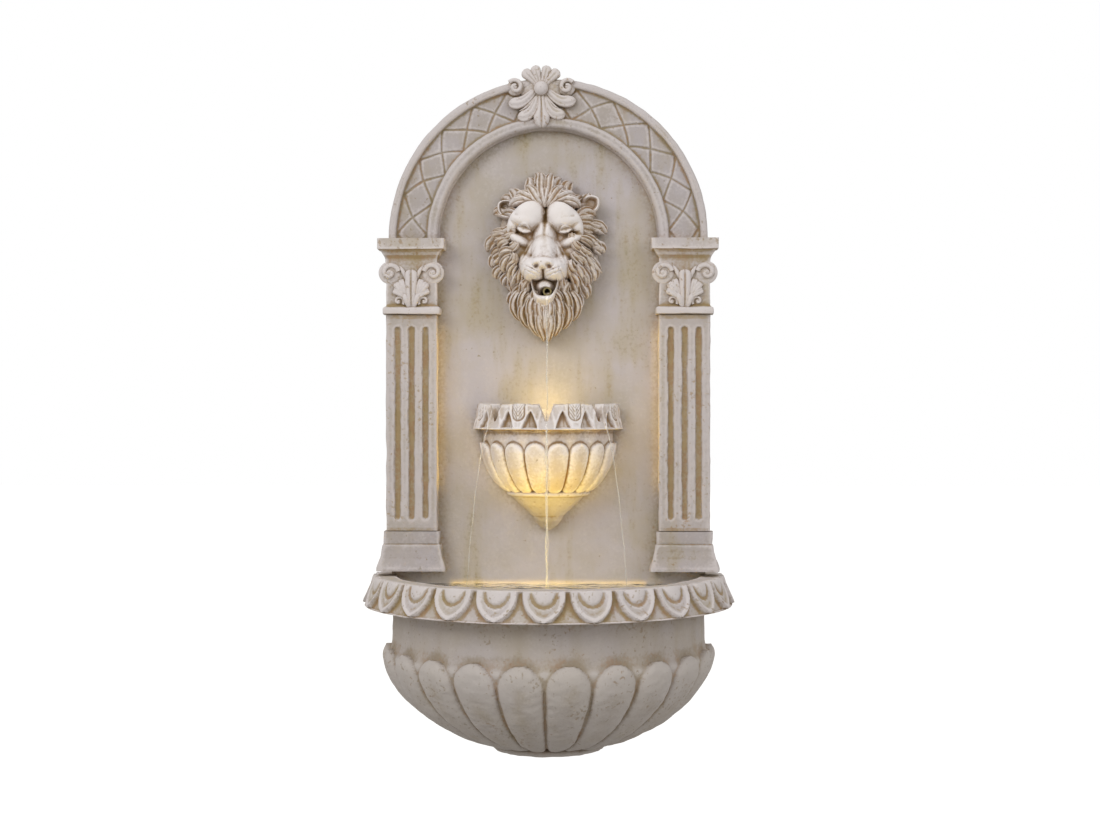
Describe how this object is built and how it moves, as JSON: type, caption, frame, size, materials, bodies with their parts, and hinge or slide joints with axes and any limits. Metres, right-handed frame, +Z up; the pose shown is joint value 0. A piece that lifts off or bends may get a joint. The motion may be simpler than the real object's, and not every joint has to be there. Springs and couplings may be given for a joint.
{
  "type": "garden wall fountain",
  "caption": "Wall-hung cast-stone fountain: arched niche between fluted pilasters, lion mask spout, small upper bowl and a gadrooned basin with a pump.",
  "frame": {"origin": "on the wall plane, midway between the entry holes of the two hanger plates", "axes": "+X to the right as the fountain is seen, +Y into the wall, +Z up"},
  "size_m": [0.438, 0.2472, 0.7991],
  "materials": {
    "cast_stone": "whitewashed, antiqued matte",
    "board": "sealed matte",
    "zinc_steel": "zinc plated",
    "stainless": "satin",
    "clear_tube": "translucent satin",
    "black_plastic": "moulded matte",
    "grey_plastic": "moulded matte",
    "black_rubber": "matte",
    "filter_foam": "open-cell",
    "magnet_rotor": "moulded matte",
    "ceramic_shaft": "ground",
    "clear_lens": "clear",
    "diode_board": "glossy"
  },
  "bodies": {
    "root": {"back_panel": "cast_stone", "arch_surround": "cast_stone", "crest": "cast_stone", "left_capital": "cast_stone", "right_capital": "cast_stone", "left_shaft": "cast_stone", "right_shaft": "cast_stone", "left_plinth": "cast_stone", "right_plinth": "cast_stone", "lion_mask": "cast_stone", "upper_bowl": "cast_stone", "upper_bowl_pendant": "cast_stone", "lower_basin": "cast_stone", "basin_rim": "cast_stone", "back_board": "board", "board_screws": "zinc_steel", "hanger_plates": "zinc_steel", "hanger_screws": "zinc_steel", "panel_dowels": "stainless", "mouth_spout": "black_plastic", "riser_tube": "clear_tube", "tube_clips": "grey_plastic", "cable_grommet": "black_rubber", "pump_housing": "black_plastic", "outlet_nozzle": "black_plastic", "chamber_cap": "black_plastic", "impeller_shaft": "ceramic_shaft", "shaft_bush": "black_rubber", "suction_feet": "black_rubber", "upper_lamp_housing": "black_plastic", "upper_lamp_lens": "clear_lens", "upper_lamp_board": "diode_board", "upper_lamp_seal": "black_rubber", "lower_lamp_housing": "black_plastic", "lower_lamp_lens": "clear_lens", "lower_lamp_board": "diode_board", "lower_lamp_seal": "black_rubber"},
    "impeller": {"impeller": "magnet_rotor"},
    "intake_cover": {"intake_cover": "black_plastic", "strainer_foam": "filter_foam"},
    "flow_dial": {"flow_dial": "grey_plastic"}
  },
  "joints": [
    {"name": "impeller_spin", "type": "hinge", "parent": "root", "child": "impeller", "pos_m": [0, -0.045, -0.59], "axis": [1, 0, 0], "continuous": true},
    {"name": "cover_pull", "type": "slide", "parent": "root", "child": "intake_cover", "axis": [-1, 0, 0], "range_m": [0, 0.04]},
    {"name": "flow_dial_turn", "type": "hinge", "parent": "intake_cover", "child": "flow_dial", "pos_m": [-0.02, -0.045, -0.579], "axis": [-1, 0, 0], "range_deg": [0, 90]}
  ]
}
